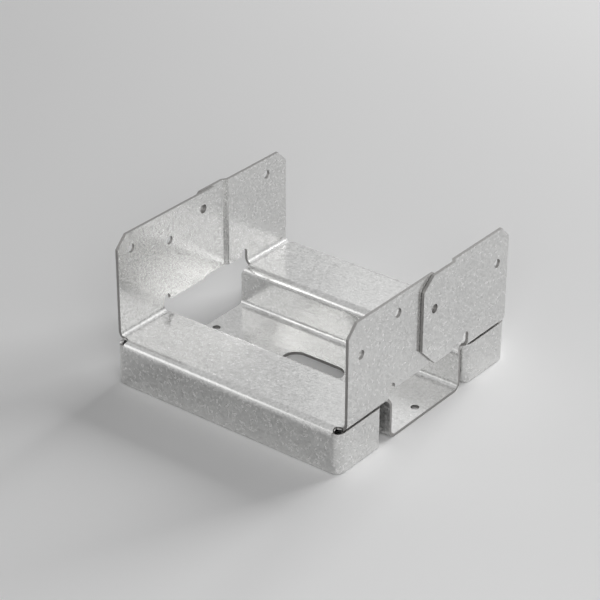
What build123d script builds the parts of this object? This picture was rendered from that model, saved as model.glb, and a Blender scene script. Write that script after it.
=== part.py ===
"""Standoff base for a square timber post, folded from one sheet of galvanised steel.

The sheet runs, from front to back, as a skirt, a seat, a wall down to the ground, the anchor
channel, a wall up again, a second seat and a second skirt. The skirts wrap round the corners into
side tabs that close the ends of the two seats. Nailing flanges fold up from the sides of each seat,
reach over the channel and lap there: the back pair is joggled outwards by one sheet to pass outside
the front pair. The anchor slot lies in the middle of the channel floor.

X runs from the left flange to the right one, Y from front to back, Z up. The origin is on the ground
under the middle of the base. Sizes are in millimetres.
"""
import os

from build123d import *

# Sheet and bends
sheet = 1.6                 # thickness of 16 gauge galvanised sheet
bend_inside = 3.0           # inside radius of every right-angle bend

# Post and overall sizes
post_width = 139.7          # side of the dressed timber post
post_play = 0.6             # post to flanges, both sides together
height = 79.4               # ground to the top of the flanges
standoff = 24.2             # ground to the seat, keeps the end grain dry
base_length = 141.9         # front skirt face to back skirt face
flange_length = 133.4       # front end of the front flanges to back end of the back flanges

# Anchor channel between the seats
channel_width = 57.0        # between its two walls
slot_length = 37.0
slot_width = 15.4
vent_diameter = 4.4         # small hole near each end of the channel floor
vent_inset = 6.1            # from the end of the channel floor to that hole's centre

# Side tabs that close the seats' ends
tab_depth = 35.5            # skirt face to the outside of the tab's return fold
tab_gap = 0.3               # tab's top edge to the seat's underside
return_length = 16.0        # return fold, from the tab's outside face

# Nailing flanges
fold_length = 33.1          # stretch of seat edge that each flange folds up from
seat_trim = 2.0             # corner taken off the seat's end beside the fold
flange_rise = 5.4           # seat to the flange's lower edge over the channel
corner_chamfer = 6.5        # outer top corners
lap_overlap = 18.4          # front and back flanges past each other
lap_gap = 0.2               # between the two lapped sheets
lap_top_run = 8.0           # chamfer at the top of each lapped end, along Y
lap_top_drop = 6.4          # the same chamfer, along Z
lap_top_blunt = 1.5         # the left front flange's own, smaller chamfer there
lap_foot_chamfer = 11.0     # chamfer at the foot of each lapped end
joggle_start = 16.5         # middle of the base to the joggle
joggle_length = 2.2
joggle_radius = 1.2         # middle of the sheet, at both of the joggle's bends

# Round reliefs
relief_diameter = 4.8
notch_lift = 1.35           # notch centre above the flange's lower edge
corner_hole_inset = 2.7     # skirt and tab faces to the corner hole's centre
corner_hole_drop = 0.5      # seat to the corner hole's centre

# Nail holes: place along Y from the middle, and which row
nail_diameter = 4.8
row_upper = 9.2             # flange top to each row of holes
row_middle = 16.3
row_lower = 18.5
left_nails = [(-56.8, row_upper), (-28.2, row_middle), (-1.5, row_upper), (50.2, row_upper)]
right_nails = [(-56.8, row_lower), (-27.8, row_upper), (0.0, row_lower), (57.1, row_lower)]

# Worked out from the sizes above
mid = sheet / 2
bend_outside = bend_inside + sheet
bend_mid = bend_inside + mid
seat_half = (post_width + post_play) / 2        # middle to a flange's inside face
flange_outside = seat_half + sheet
skirt_face = base_length / 2
channel_half = channel_width / 2
seat_mid = standoff - mid
seat_under = standoff - sheet
fold_start = flange_outside - bend_outside      # middle to where the flange bend begins
flange_end = flange_length / 2
fold_end = flange_end - fold_length
flange_foot = standoff + flange_rise
lap_end = lap_overlap / 2
lap_offset = sheet + lap_gap
skirt_bend_foot = standoff - bend_outside       # height where the skirt's flat face ends
corner_bend = seat_half - bend_outside          # middle to where the corner bend begins
tab_top = seat_under - tab_gap
relief_radius = relief_diameter / 2
margin = 2.0                                    # cutters reach past the sheet by this


def strip(points, radius=bend_mid):
    """Edge-on view of the folded sheet along its middle line, with a bend at every corner."""
    return trace(FilletPolyline(*points, radius=radius), line_width=sheet)


def side_prism(sketch, start, stop):
    """Sketch drawn in Y and Z, extruded along X from start to stop."""
    return extrude(Plane.YZ.offset(start) * sketch, amount=stop - start, dir=(1, 0, 0))


def rise(sketch, amount):
    """Sketch drawn in X and Y, extruded upwards from the ground."""
    return extrude(sketch, amount=amount, dir=(0, 0, 1))


def block(x_range, y_range, z_range):
    """Plain block between two corners, used as a cutter."""
    size = [high - low for low, high in (x_range, y_range, z_range)]
    centre = [(high + low) / 2 for low, high in (x_range, y_range, z_range)]
    return Pos(*centre) * Box(*size)


def corners(shape):
    """A shape made for the front right corner, copied to all four corners."""
    right = [shape, mirror(shape, about=Plane.XZ)]
    return right + [mirror(each, about=Plane.YZ) for each in right]


def long_section():
    """Skirt, seat, wall, channel floor, wall, seat and skirt as one folded strip."""
    skirt = skirt_face - mid
    wall = channel_half + mid
    half = [(skirt, 0), (skirt, seat_mid), (wall, seat_mid), (wall, mid)]
    front = [(-y, z) for y, z in half]
    back = [(y, z) for y, z in reversed(half)]
    body = side_prism(strip(front + back), -seat_half, seat_half)
    ground = -margin
    fold_strip = block((fold_start, seat_half + margin), (-skirt_face - margin, -fold_end),
                       (ground, standoff + margin))
    skirt_strip = block((corner_bend, seat_half + margin),
                        (-skirt_face - margin, -skirt_face + bend_outside),
                        (ground, standoff + margin))
    return body - corners(fold_strip) - corners(skirt_strip) - corners(trim_wedge())


def trim_wedge():
    """Cutter that slopes the end of the seat and its bend between the fold and the channel."""
    top = standoff + margin
    outer = seat_half + margin
    wedge = make_face(Polyline(
        (seat_half, skirt_bend_foot),
        (seat_half - seat_trim, standoff),
        (seat_half - seat_trim, top),
        (outer, top),
        (outer, skirt_bend_foot),
        close=True,
    ))
    run = fold_end - channel_half + margin
    return extrude(Plane.XZ.offset(fold_end) * wedge, amount=run, dir=(0, 1, 0))


def side_tabs():
    """The corner bends, side tabs and return folds at both ends of both skirts."""
    skirt = skirt_face - mid
    side = seat_half - mid
    back_fold = skirt_face - tab_depth + mid
    inner = seat_half - return_length
    path = [(corner_bend - margin, -skirt), (side, -skirt), (side, -back_fold), (inner, -back_fold)]
    tab = rise(strip(path), tab_top)
    under_bend = block((0, corner_bend), (-skirt_face - margin, -skirt_face + bend_outside),
                       (skirt_bend_foot, standoff))
    return corners(tab - under_bend)


def flange_outline(top_run=lap_top_run, top_drop=lap_top_drop):
    """Front flange seen from the side, above its bend, with its chamfers and round notch."""
    bend_top = standoff + bend_inside
    outline = Polyline(
        (-flange_end, bend_top),
        (-flange_end, height - corner_chamfer),
        (-flange_end + corner_chamfer, height),
        (lap_end - top_run, height),
        (lap_end, height - top_drop),
        (lap_end, flange_foot + lap_foot_chamfer),
        (lap_end - lap_foot_chamfer, flange_foot),
        (-fold_end, flange_foot),
        (-fold_end, bend_top),
        close=True,
    )
    notch_y = -fold_end + relief_radius
    notch_z = flange_foot + notch_lift
    notch = Pos(notch_y, notch_z) * Circle(relief_radius)
    below = Pos((notch_y - fold_end) / 2, (notch_z + bend_top) / 2)
    throat = below * Rectangle(relief_radius, notch_z - bend_top)
    return make_face(outline) - notch - throat


def flange_bend():
    """Bend from the seat's edge up to the front right flange, over the fold's length."""
    upright = flange_outside - mid
    path = [(fold_start - margin, seat_mid), (upright, seat_mid), (upright, standoff + bend_outside)]
    return extrude(Plane.XZ.offset(fold_end) * strip(path), amount=fold_length, dir=(0, -1, 0))


def front_flange(outline):
    """Right front flange, flat, on the inside of the lap."""
    return side_prism(outline, seat_half, flange_outside) + flange_bend()


def back_flange():
    """Right back flange, joggled outwards to lap outside the front one."""
    flat = flange_outside - mid
    path = [(flat, flange_end), (flat, joggle_start + joggle_length),
            (flat + lap_offset, joggle_start), (flat + lap_offset, -lap_end - margin)]
    joggled = rise(strip(path, joggle_radius), height)
    outline = mirror(flange_outline(), about=Plane.YZ)
    prism = side_prism(outline, seat_half - margin, flange_outside + lap_offset + margin)
    return (joggled & prism) + mirror(flange_bend(), about=Plane.XZ)


def nail_holes(nails, start, stop):
    """Round holes along X through one side's flanges."""
    drill = [Pos(y, height - drop) * Circle(nail_diameter / 2) for y, drop in nails]
    return side_prism(Sketch() + drill, start, stop)


def floor_holes():
    """Anchor slot and the two small holes, cut down through the channel floor."""
    reach = seat_half - vent_inset
    vents = [Pos(x, 0) * Circle(vent_diameter / 2) for x in (-reach, reach)]
    return rise(SlotOverall(slot_length, slot_width) + vents, sheet)


def corner_hole():
    """Round relief where skirt, seat and tab would meet."""
    place = Pos(seat_half - corner_hole_inset, corner_hole_inset - skirt_face,
                standoff - corner_hole_drop)
    return place * Sphere(relief_radius)


def post_base():
    """The whole folded sheet."""
    right = [front_flange(flange_outline()), back_flange()]
    left = [front_flange(flange_outline(lap_top_blunt, lap_top_blunt)), back_flange()]
    flanges = right + [mirror(each, about=Plane.YZ) for each in left]
    body = long_section() + side_tabs() + flanges
    reach = flange_outside + lap_offset + margin
    body -= nail_holes(left_nails, -reach, 0)
    body -= nail_holes(right_nails, 0, reach)
    return body - floor_holes() - corners(corner_hole())


if __name__ == "__main__":
    os.makedirs("parts", exist_ok=True)
    export_step(post_base(), "parts/post_base.step")
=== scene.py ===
"""Looks of the timber post base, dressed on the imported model.

The base is one sheet of galvanised steel, so the scene has one piece: the sheet, with zinc on its
two skins and bare sheared steel on its cut edges. Lengths are in metres, in the frame of the model.
"""
import logging
import math
from dataclasses import dataclass
from enum import Enum

import bmesh
import bpy
from mathutils import Matrix, Vector
from mathutils.bvhtree import BVHTree


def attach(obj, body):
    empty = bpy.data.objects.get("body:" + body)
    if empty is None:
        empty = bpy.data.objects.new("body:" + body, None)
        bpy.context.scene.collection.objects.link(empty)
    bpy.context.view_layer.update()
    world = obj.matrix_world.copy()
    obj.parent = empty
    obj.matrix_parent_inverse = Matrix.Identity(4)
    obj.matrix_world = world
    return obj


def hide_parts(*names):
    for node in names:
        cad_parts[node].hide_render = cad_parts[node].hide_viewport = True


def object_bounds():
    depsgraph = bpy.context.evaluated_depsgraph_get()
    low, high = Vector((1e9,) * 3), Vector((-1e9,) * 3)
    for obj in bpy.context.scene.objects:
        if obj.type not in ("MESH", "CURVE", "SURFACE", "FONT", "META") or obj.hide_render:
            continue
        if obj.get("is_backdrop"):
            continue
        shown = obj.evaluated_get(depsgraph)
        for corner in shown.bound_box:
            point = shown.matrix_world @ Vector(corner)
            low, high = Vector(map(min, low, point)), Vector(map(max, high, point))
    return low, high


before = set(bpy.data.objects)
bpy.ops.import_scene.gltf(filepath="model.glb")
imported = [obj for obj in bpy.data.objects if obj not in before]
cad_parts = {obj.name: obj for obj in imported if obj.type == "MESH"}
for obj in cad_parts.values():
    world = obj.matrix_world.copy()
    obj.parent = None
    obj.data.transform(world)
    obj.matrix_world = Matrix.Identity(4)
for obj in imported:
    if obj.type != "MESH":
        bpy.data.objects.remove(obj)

MM = 0.001
LOG = logging.getLogger("post_base")

# What the input of a node takes
Value = bpy.types.NodeSocket | float | tuple[float, ...]


class Skin(Enum):
    """The two finishes on the sheet, in the order of the piece's material slots."""

    ZINC = 0
    CUT_EDGE = 1


@dataclass(frozen=True)
class Shader:
    """Thin helper that adds and joins the nodes of one material, or of the world.

    Args:
        owner: the material or the world whose nodes are made.
    """

    owner: bpy.types.Material | bpy.types.World

    @classmethod
    def fresh(cls, name: str) -> "Shader":
        """Makes a material with an empty node tree.

        Args:
            name: the material's name.

        Returns:
            The helper for the new material.
        """
        material = bpy.data.materials.new(name)
        material.use_nodes = True
        material.node_tree.nodes.clear()
        return cls(material)

    def node(self, kind: str, **settings: str) -> bpy.types.Node:
        """Adds one node.

        Args:
            kind: the node's type, such as ShaderNodeTexNoise.
            settings: properties of the node, by name.

        Returns:
            The new node.
        """
        made = self.owner.node_tree.nodes.new(kind)
        for key, value in settings.items():
            setattr(made, key, value)
        return made

    def join(self, source: bpy.types.NodeSocket, target: bpy.types.NodeSocket) -> None:
        """Links an output to an input."""
        self.owner.node_tree.links.new(source, target)

    def feed(self, target: bpy.types.NodeSocket, value: Value) -> None:
        """Links a socket, or sets a plain value, on an input.

        Args:
            target: the input.
            value: an output socket, or a number, colour or vector.
        """
        if isinstance(value, bpy.types.NodeSocket):
            self.join(value, target)
        else:
            target.default_value = value

    def place(self) -> bpy.types.NodeSocket:
        """Returns the point's place on the object, in metres."""
        return self.node("ShaderNodeTexCoord").outputs["Object"]

    def math(self, operation: str, first: Value, second: Value) -> bpy.types.NodeSocket:
        """Works on two numbers.

        Args:
            operation: the name of Blender's operation, such as MULTIPLY.
            first: a socket or a number.
            second: a socket or a number.

        Returns:
            The result's socket.
        """
        made = self.node("ShaderNodeMath", operation=operation)
        self.feed(made.inputs[0], first)
        self.feed(made.inputs[1], second)
        return made.outputs[0]

    def vector(self, operation: str, first: Value, second: Value) -> bpy.types.NodeSocket:
        """Works on two vectors, or on a vector and a scale.

        Args:
            operation: the name of Blender's operation, such as ADD or SCALE.
            first: a socket or a vector.
            second: a socket, a vector, or the number for SCALE.

        Returns:
            The result's socket.
        """
        made = self.node("ShaderNodeVectorMath", operation=operation)
        self.feed(made.inputs[0], first)
        self.feed(made.inputs["Scale"] if operation == "SCALE" else made.inputs[1], second)
        return made.outputs[0]

    def blend(self, first: bpy.types.NodeSocket, second: bpy.types.NodeSocket,
              share: float) -> bpy.types.NodeSocket:
        """Mixes two values.

        Args:
            first: a socket.
            second: a socket.
            share: the second one's share, from 0 to 1.

        Returns:
            The result's socket.
        """
        rest = self.math("MULTIPLY", first, 1.0 - share)
        return self.math("ADD", rest, self.math("MULTIPLY", second, share))

    def spread(self, value: bpy.types.NodeSocket, low: float, high: float) -> bpy.types.NodeSocket:
        """Stretches a value that runs from 0 to 1 to run from low to high.

        Args:
            value: the socket to stretch.
            low: result at 0.
            high: result at 1.

        Returns:
            The result's socket.
        """
        made = self.node("ShaderNodeMapRange")
        self.join(value, made.inputs["Value"])
        made.inputs["To Min"].default_value = low
        made.inputs["To Max"].default_value = high
        return made.outputs["Result"]

    def contrast(self, value: bpy.types.NodeSocket, times: float) -> bpy.types.NodeSocket:
        """Spreads a value that keeps near one half further apart, and stops it at 0 and 1.

        Args:
            value: the socket to spread.
            times: how many times further from one half.

        Returns:
            The result's socket.
        """
        made = self.node("ShaderNodeMapRange")
        self.join(value, made.inputs["Value"])
        made.inputs["From Min"].default_value = 0.5 - 0.5 / times
        made.inputs["From Max"].default_value = 0.5 + 0.5 / times
        return made.outputs["Result"]

    def noise(self, place: bpy.types.NodeSocket, size: float, detail: float = 2.0) -> bpy.types.NodeSocket:
        """Makes soft noise from 0 to 1.

        Args:
            place: the coordinates.
            size: width of one blotch, in metres.
            detail: number of finer octaves.

        Returns:
            The noise's value.
        """
        made = self.node("ShaderNodeTexNoise")
        self.join(place, made.inputs["Vector"])
        made.inputs["Scale"].default_value = 1.0 / size
        made.inputs["Detail"].default_value = detail
        return made.outputs["Fac"]

    def cells(self, place: bpy.types.NodeSocket, size: float) -> bpy.types.NodeSocket:
        """Makes a random colour for each cell of a crystal pattern.

        Args:
            place: the coordinates.
            size: width of one crystal, in metres.

        Returns:
            The cell's colour, each channel from 0 to 1.
        """
        made = self.node("ShaderNodeTexVoronoi")
        self.join(place, made.inputs["Vector"])
        made.inputs["Scale"].default_value = 1.0 / size
        return made.outputs["Color"]

    def tilt(self, colour: bpy.types.NodeSocket, lean: float) -> bpy.types.NodeSocket:
        """Leans the surface a little towards each cell's own random direction.

        Args:
            colour: the cell's random colour.
            lean: largest lean, as a share of the normal's length.

        Returns:
            The leaning normal.
        """
        centred = self.vector("SUBTRACT", colour, (0.5, 0.5, 0.5))
        shift = self.vector("SCALE", centred, 2.0 * lean)
        normal = self.node("ShaderNodeNewGeometry").outputs["Normal"]
        leaned = self.vector("ADD", normal, shift)
        made = self.node("ShaderNodeVectorMath", operation="NORMALIZE")
        self.join(leaned, made.inputs[0])
        return made.outputs[0]

    def metal(self, colour: Value, roughness: Value, metallic: Value, normal: Value) -> None:
        """Closes the material with a metal surface.

        Args:
            colour: a socket or a colour.
            roughness: a socket or a number.
            metallic: a socket or a number, the share of bare metal.
            normal: socket of the surface's normal.
        """
        surface = self.node("ShaderNodeBsdfPrincipled")
        self.feed(surface.inputs["Base Color"], colour)
        self.feed(surface.inputs["Roughness"], roughness)
        self.feed(surface.inputs["Metallic"], metallic)
        self.feed(surface.inputs["Normal"], normal)
        output = self.node("ShaderNodeOutputMaterial")
        self.join(surface.outputs["BSDF"], output.inputs["Surface"])

    def grey(self, value: bpy.types.NodeSocket, tint: tuple[float, float, float]) -> bpy.types.NodeSocket:
        """Returns the tint at the given brightness."""
        return self.vector("SCALE", tint, value)


@dataclass(frozen=True)
class ZincFinish:
    """Hot-dip zinc: small crystals that each lean and shine a little differently.

    Args:
        crystal: width of one crystal.
        crystal_share: the crystals' share of the mottle, the rest being grain.
        grain: width of one blotch of the grain.
        grain_contrast: how many times stronger the grain is than plain noise.
        cloud: width of one of the large, faint clouds.
        cloud_share: the clouds' share of the tone, the rest being mottle.
        octaves: number of finer octaves in the grain and the clouds.
        tint: colour at brightness 1.
        darkest: brightness of the darkest specks.
        brightest: brightness of the lightest specks.
        smoothest: roughness of the glossiest crystals.
        roughest: roughness of the dullest crystals.
        gloss_share: the grain's share of the gloss, the rest being crystals.
        barest: share of bare metal in the dark specks.
        dullest: share of bare metal in the light ones, which carry the most patina.
        lean: how far a crystal leans, as a share of the normal's length.
    """

    crystal: float = 0.9 * MM
    crystal_share: float = 0.35
    grain: float = 1.3 * MM
    grain_contrast: float = 2.6
    cloud: float = 22 * MM
    cloud_share: float = 0.2
    octaves: float = 3.0
    tint: tuple[float, float, float] = (1.0, 1.0, 0.99)
    darkest: float = 0.5
    brightest: float = 0.96
    smoothest: float = 0.18
    roughest: float = 0.24
    gloss_share: float = 0.5
    barest: float = 1.0
    dullest: float = 0.66
    lean: float = 0.008

    def material(self) -> bpy.types.Material:
        """Makes the zinc's material.

        Returns:
            The material.
        """
        shader = Shader.fresh("galvanised_zinc")
        place = shader.place()
        crystals = shader.cells(place, self.crystal)
        channels = shader.node("ShaderNodeSeparateColor")
        shader.join(crystals, channels.inputs[0])
        grain = shader.contrast(shader.noise(place, self.grain, self.octaves), self.grain_contrast)
        cloud = shader.noise(place, self.cloud, self.octaves)
        mottle = shader.blend(grain, channels.outputs["Red"], self.crystal_share)
        tone = shader.blend(mottle, cloud, self.cloud_share)
        colour = shader.grey(shader.spread(tone, self.darkest, self.brightest), self.tint)
        gloss = shader.blend(channels.outputs["Green"], grain, self.gloss_share)
        roughness = shader.spread(gloss, self.smoothest, self.roughest)
        patina = shader.spread(mottle, self.barest, self.dullest)
        shader.metal(colour, roughness, patina, shader.tilt(crystals, self.lean))
        return shader.owner


@dataclass(frozen=True)
class CutEdgeFinish:
    """Sheared steel: darker and duller than the zinc, with fine blotches.

    Args:
        blotch: width of one blotch.
        tint: colour at brightness 1.
        darkest: brightness of the darkest blotches.
        brightest: brightness of the lightest blotches.
        roughness: of the whole edge.
        metallic: share of bare metal.
    """

    blotch: float = 0.35 * MM
    tint: tuple[float, float, float] = (1.0, 0.98, 0.96)
    darkest: float = 0.28
    brightest: float = 0.42
    roughness: float = 0.4
    metallic: float = 1.0

    def material(self) -> bpy.types.Material:
        """Makes the cut edge's material.

        Returns:
            The material.
        """
        shader = Shader.fresh("sheared_steel")
        place = shader.place()
        blotches = shader.noise(place, self.blotch)
        colour = shader.grey(shader.spread(blotches, self.darkest, self.brightest), self.tint)
        normal = shader.node("ShaderNodeNewGeometry").outputs["Normal"]
        shader.metal(colour, self.roughness, self.metallic, normal)
        return shader.owner


@dataclass(frozen=True)
class FloorFinish:
    """Pale, matt floor of one colour.

    Args:
        colour: of the whole floor.
        roughness: of the whole floor.
        shine: strength of its reflections.
    """

    colour: tuple[float, float, float, float] = (0.9, 0.9, 0.9, 1.0)
    roughness: float = 0.9
    shine: float = 0.0

    def material(self) -> bpy.types.Material:
        """Makes the floor's material.

        Returns:
            The material.
        """
        shader = Shader.fresh("pale_floor")
        surface = shader.node("ShaderNodeBsdfPrincipled")
        surface.inputs["Base Color"].default_value = self.colour
        surface.inputs["Roughness"].default_value = self.roughness
        surface.inputs["Specular IOR Level"].default_value = self.shine
        output = shader.node("ShaderNodeOutputMaterial")
        shader.join(surface.outputs["BSDF"], output.inputs["Surface"])
        return shader.owner


@dataclass
class FoldedSheet:
    """The whole base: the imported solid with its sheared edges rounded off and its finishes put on.

    Args:
        node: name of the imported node.
        sheet: thickness of the sheet.
        burr: radius of the rounding along every cut edge.
        burr_steps: number of faces across that rounding.
        burr_profile: its form, where 0.5 is a round arc.
        merge: points closer than this are one.
        flat_angle: faces closer than this, in radians, are one flat.
        edge_angle: edges sharper than this, in radians, are cut edges.
        probe_start: depth at which the probe for metal starts, as a share of the thickness.
        probe_reach: depth at which it gives up, as a share of the thickness.
        flat_weight: how strongly the large faces steer the shading, from 1 to 100.
    """

    node: str = "post_base"
    sheet: float = 1.6 * MM
    burr: float = 0.15 * MM
    burr_steps: int = 2
    burr_profile: float = 0.5
    merge: float = 0.001 * MM
    flat_angle: float = math.radians(0.3)
    edge_angle: float = math.radians(40)
    probe_start: float = 0.02
    probe_reach: float = 1.25
    flat_weight: int = 60

    def build(self) -> bpy.types.Object:
        """Makes the piece and puts its finishes on.

        Returns:
            The piece.
        """
        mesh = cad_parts[self.node].data.copy()
        mesh.name = "folded_sheet"
        self.dress(mesh)
        self.round_edges(mesh)
        piece = bpy.data.objects.new("folded_sheet", mesh)
        bpy.context.scene.collection.objects.link(piece)
        weigh = piece.modifiers.new("even_shading", "WEIGHTED_NORMAL")
        weigh.weight = self.flat_weight
        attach(piece, "root")
        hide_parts(self.node)
        return piece

    def round_edges(self, mesh: bpy.types.Mesh) -> None:
        """Sorts the faces into skin and cut edge, merges the flats, and rounds the sharp edges.

        Args:
            mesh: the mesh to change.
        """
        work = bmesh.new()
        work.from_mesh(mesh)
        bmesh.ops.remove_doubles(work, verts=work.verts, dist=self.merge)
        work.normal_update()
        self.sort_faces(work)
        bmesh.ops.dissolve_limit(work, angle_limit=self.flat_angle, verts=work.verts, edges=work.edges,
                                 delimit={"MATERIAL"})
        sharp = [e for e in work.edges if e.is_manifold and e.calc_face_angle() > self.edge_angle]
        bmesh.ops.bevel(work, geom=sharp, offset=self.burr, segments=self.burr_steps,
                        profile=self.burr_profile, affect="EDGES", clamp_overlap=True, material=-1)
        for face in work.faces:
            face.smooth = True
        work.to_mesh(mesh)
        work.free()
        mesh.update()

    def sort_faces(self, work: bmesh.types.BMesh) -> None:
        """Gives each face its finish: a skin has the other skin one thickness behind it.

        Args:
            work: the mesh to sort.
        """
        tree = BVHTree.FromBMesh(work)
        start = self.sheet * self.probe_start
        deepest = self.sheet * self.probe_reach
        for face in work.faces:
            inward = -face.normal
            middle = face.calc_center_median()
            hit = tree.ray_cast(middle + inward * start, inward, deepest)
            face.material_index = Skin.ZINC.value if hit[0] is not None else Skin.CUT_EDGE.value

    def dress(self, mesh: bpy.types.Mesh) -> None:
        """Puts the two finishes on the bare mesh, in the order of Skin.

        Args:
            mesh: the mesh to dress.
        """
        if "custom_normal" in mesh.attributes:
            mesh.attributes.remove(mesh.attributes["custom_normal"])
        mesh.materials.clear()
        mesh.materials.append(ZincFinish().material())
        mesh.materials.append(CutEdgeFinish().material())


@dataclass(frozen=True)
class Panel:
    """One soft square lamp.

    Args:
        name: the lamp's name.
        azimuth: direction it stands in, in degrees round from the front towards the right.
        elevation: degrees above the ground.
        distance: from the middle of the base, in metres.
        size: side of the square, in metres.
        power: in watts.
    """

    name: str
    azimuth: float
    elevation: float
    distance: float
    size: float
    power: float

    def build(self, aim: Vector) -> bpy.types.Object:
        """Makes the lamp, turned towards a point.

        Args:
            aim: the point that it lights.

        Returns:
            The lamp.
        """
        light = bpy.data.lights.new(self.name, "AREA")
        light.shape = "SQUARE"
        light.size = self.size
        light.energy = self.power
        lamp = bpy.data.objects.new(self.name, light)
        bpy.context.scene.collection.objects.link(lamp)
        turn = math.radians(self.azimuth)
        rise = math.radians(self.elevation)
        level = math.cos(rise)
        away = Vector((math.sin(turn) * level, -math.cos(turn) * level, math.sin(rise)))
        lamp.location = aim + away * self.distance
        lamp.rotation_mode = "QUATERNION"
        lamp.rotation_quaternion = away.to_track_quat("Z", "Y")
        return lamp


@dataclass(frozen=True)
class Studio:
    """The pale floor, the soft lamps and the even light from all round.

    Args:
        floor_half: half the floor's side.
        floor_gap: how far the floor lies below the base.
        air_colour: of the light from all round.
        air_light: strength of that light on matt surfaces.
        air_shown: its strength as the camera and the metal see it.
        aim_height: height of the point that the lamps are turned towards.
        panels: the lamps.
    """

    floor_half: float = 6.0
    floor_gap: float = 0.2 * MM
    air_colour: tuple[float, float, float, float] = (1.0, 1.0, 1.0, 1.0)
    air_light: float = 0.15
    air_shown: float = 0.66
    aim_height: float = 30 * MM
    panels: tuple[Panel, ...] = (
        Panel("camera_softbox", azimuth=40.0, elevation=29.0, distance=0.8, size=0.28, power=1.0),
        Panel("high_softbox", azimuth=62.0, elevation=40.0, distance=0.8, size=0.4, power=0.65),
        Panel("front_left_softbox", azimuth=319.0, elevation=26.0, distance=0.8, size=0.28, power=0.2),
        Panel("back_right_softbox", azimuth=134.0, elevation=33.0, distance=0.8, size=0.42, power=0.25),
        Panel("back_left_softbox", azimuth=202.0, elevation=36.0, distance=0.8, size=0.36, power=0.12),
        Panel("back_key", azimuth=172.0, elevation=15.0, distance=2.4, size=1.5, power=74.0),
    )

    def build(self) -> None:
        """Makes the floor, the studio air and the lamps."""
        self.floor()
        self.air()
        aim = Vector((0.0, 0.0, self.aim_height))
        for panel in self.panels:
            panel.build(aim)

    def air(self) -> bpy.types.World:
        """Makes the even light from all round, which the camera and the metal see as pale.

        Returns:
            The world.
        """
        world = bpy.data.worlds.new("studio_air")
        bpy.context.scene.world = world
        world.use_nodes = True
        background = world.node_tree.nodes["Background"]
        background.inputs["Color"].default_value = self.air_colour
        shader = Shader(world)
        path = shader.node("ShaderNodeLightPath")
        seen = shader.math("MAXIMUM", path.outputs["Is Camera Ray"], path.outputs["Is Glossy Ray"])
        seen = shader.math("MAXIMUM", seen, path.outputs["Is Transmission Ray"])
        shader.join(shader.spread(seen, self.air_light, self.air_shown), background.inputs["Strength"])
        return world

    def floor(self) -> bpy.types.Object:
        """Makes the floor.

        Returns:
            The floor, marked as stage.
        """
        half = self.floor_half
        mesh = bpy.data.meshes.new("floor")
        corners = [(-half, -half, 0.0), (half, -half, 0.0), (half, half, 0.0), (-half, half, 0.0)]
        mesh.from_pydata(corners, [], [(0, 1, 2, 3)])
        floor = bpy.data.objects.new("floor", mesh)
        floor.location.z = -self.floor_gap
        bpy.context.scene.collection.objects.link(floor)
        mesh.materials.append(FloorFinish().material())
        floor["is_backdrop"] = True
        return floor


@dataclass(frozen=True)
class PhotographCamera:
    """Camera at the photograph's place, worked out from the outlines of the base in it.

    Args:
        location: in metres.
        yaw: how far it looks to the left of straight back, in degrees.
        pitch: how far it looks down, in degrees.
        roll: how far its right side dips, in degrees.
        focal_pixels: focal length, in pixels of the photograph.
        image_pixels: width of the photograph.
        sensor_width: in millimetres.
    """

    location: tuple[float, float, float] = (0.57333, -0.74880, 0.56598)
    yaw: float = 37.84
    pitch: float = 29.14
    roll: float = -0.22
    focal_pixels: float = 2146.67
    image_pixels: float = 600.0
    sensor_width: float = 36.0

    def build(self) -> bpy.types.Object:
        """Makes the camera and sets it as the scene's.

        Returns:
            The camera.
        """
        yaw, pitch, roll = (math.radians(a) for a in (self.yaw, self.pitch, self.roll))
        level = Vector((math.cos(yaw), math.sin(yaw), 0.0))
        flat = math.cos(pitch)
        ahead = Vector((-math.sin(yaw) * flat, math.cos(yaw) * flat, -math.sin(pitch)))
        down = ahead.cross(level)
        right = math.cos(roll) * level + math.sin(roll) * down
        below = math.cos(roll) * down - math.sin(roll) * level
        turn = Matrix((right, -below, -ahead)).transposed()
        data = bpy.data.cameras.new("photograph_camera")
        data.sensor_width = self.sensor_width
        data.lens = self.sensor_width * self.focal_pixels / self.image_pixels
        camera = bpy.data.objects.new("photograph_camera", data)
        bpy.context.scene.collection.objects.link(camera)
        camera.matrix_world = Matrix.Translation(self.location) @ turn.to_4x4()
        bpy.context.scene.camera = camera
        return camera


def box_numbers() -> list[list[float]]:
    """Returns the lowest and highest corner of what is shown, as plain lists."""
    bpy.context.view_layer.update()
    return [list(corner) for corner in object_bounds()]


def main() -> None:
    """Builds the piece, the studio and the camera."""
    logging.basicConfig(level=logging.INFO)
    cad_box = box_numbers()
    sheet = FoldedSheet().build()
    LOG.info("%s: %d faces", sheet.name, len(sheet.data.polygons))
    Studio().build()
    camera = PhotographCamera().build()
    LOG.info("%s: %.1f mm lens", camera.name, camera.data.lens)
    bpy.context.scene.view_settings.view_transform = "Standard"
    {"cad": cad_box, "visual": box_numbers()}


if __name__ == "__main__":
    main()
